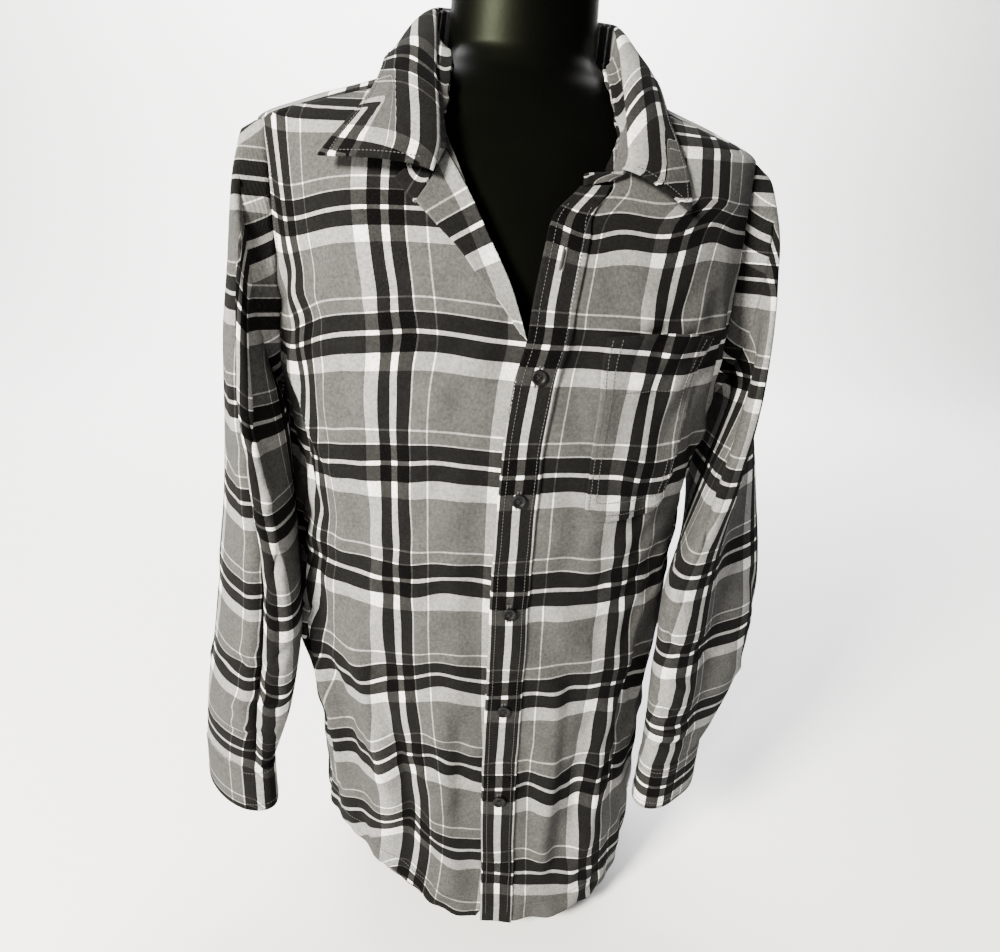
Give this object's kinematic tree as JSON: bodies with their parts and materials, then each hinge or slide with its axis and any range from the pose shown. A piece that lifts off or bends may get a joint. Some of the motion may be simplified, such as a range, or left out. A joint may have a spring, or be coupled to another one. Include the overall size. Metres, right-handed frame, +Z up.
{
  "type": "flannel shirt on a dress form",
  "caption": "Long-sleeved plaid flannel shirt, open at the neck, hollow and worn by a smooth limbless dress form that stands on its flat base",
  "frame": {"origin": "centre of the dress form's flat underside, on the surface that it stands on", "axes": "+Z up, -Y the shirt's front, +X the wearer's left"},
  "size_m": [0.5345, 0.2829, 0.867],
  "materials": {
    "plaid_flannel": "brushed cotton twill, black, grey and white yarns in a plaid",
    "black_button": "polished black resin",
    "black_form": "smooth satin black shell"
  },
  "bodies": {
    "root": {"back": "plaid_flannel", "yoke": "plaid_flannel", "front_left": "plaid_flannel", "front_right": "plaid_flannel", "band": "plaid_flannel", "lapel": "plaid_flannel", "pocket": "plaid_flannel", "collar_stand": "plaid_flannel", "collar_leaf": "plaid_flannel", "sleeve_left": "plaid_flannel", "sleeve_right": "plaid_flannel", "cuff_left": "plaid_flannel", "cuff_right": "plaid_flannel", "button_1": "black_button", "button_2": "black_button", "button_3": "black_button", "button_4": "black_button", "button_5": "black_button", "cuff_left_button": "black_button", "cuff_right_button": "black_button", "form": "black_form"}
  },
  "joints": []
}
